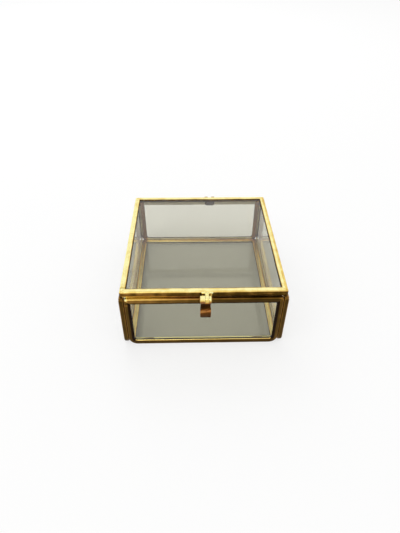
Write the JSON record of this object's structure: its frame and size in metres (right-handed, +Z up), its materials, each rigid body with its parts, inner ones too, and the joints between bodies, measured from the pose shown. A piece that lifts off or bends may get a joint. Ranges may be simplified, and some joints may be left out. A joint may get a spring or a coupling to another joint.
{
  "type": "jewelry box",
  "caption": "Low rectangular glass jewelry box edged in aged brass channel, with a rear-hinged glass lid and a small snap clasp at the front.",
  "frame": {"origin": "middle of the footprint, clasp and hinge included, on the surface that the box stands on", "axes": "+Z up out of the lid, -Y towards the clasp at the front, +X to the right of someone facing the clasp"},
  "size_m": [0.1, 0.1148, 0.0434],
  "materials": {
    "body_pane": "clear polished float glass, faint grey-green",
    "lid_pane": "clear polished float glass, faint grey-green",
    "wall_channel": "aged brass, hand-bent, brown patina rubbed bright on the bends",
    "floor_channel": "aged brass, worn bright",
    "lid_channel": "brass, worn bright on top with brown patina on its edges",
    "hinge_brass": "dark aged brass",
    "clasp_brass": "brass, worn bright on the knuckles, copper-brown on the tab",
    "solder": "dull soft solder"
  },
  "bodies": {
    "box": {"floor_glass": "body_pane", "front_glass": "body_pane", "back_glass": "body_pane", "left_glass": "body_pane", "right_glass": "body_pane", "floor_frame": "floor_channel", "front_frame": "wall_channel", "back_frame": "wall_channel", "left_frame": "wall_channel", "right_frame": "wall_channel", "corner_solder": "solder", "floor_solder": "solder", "hinge_body_leaf": "hinge_brass", "hinge_pin": "hinge_brass"},
    "lid": {"lid_glass": "lid_pane", "lid_frame": "lid_channel", "hinge_lid_leaf": "hinge_brass", "clasp_lid_leaf": "clasp_brass", "clasp_pin": "clasp_brass"},
    "clasp": {"clasp_strap": "clasp_brass"}
  },
  "joints": [
    {"name": "lid_hinge", "type": "hinge", "parent": "box", "child": "lid", "pos_m": [0.0075, 0.05586, 0.0406], "axis": [-1, 0, 0], "range_deg": [0, 105]},
    {"name": "clasp_pivot", "type": "hinge", "parent": "lid", "child": "clasp", "pos_m": [0.0009, -0.05524, 0.0408], "axis": [-1, 0, 0], "range_deg": [0, 120]}
  ]
}
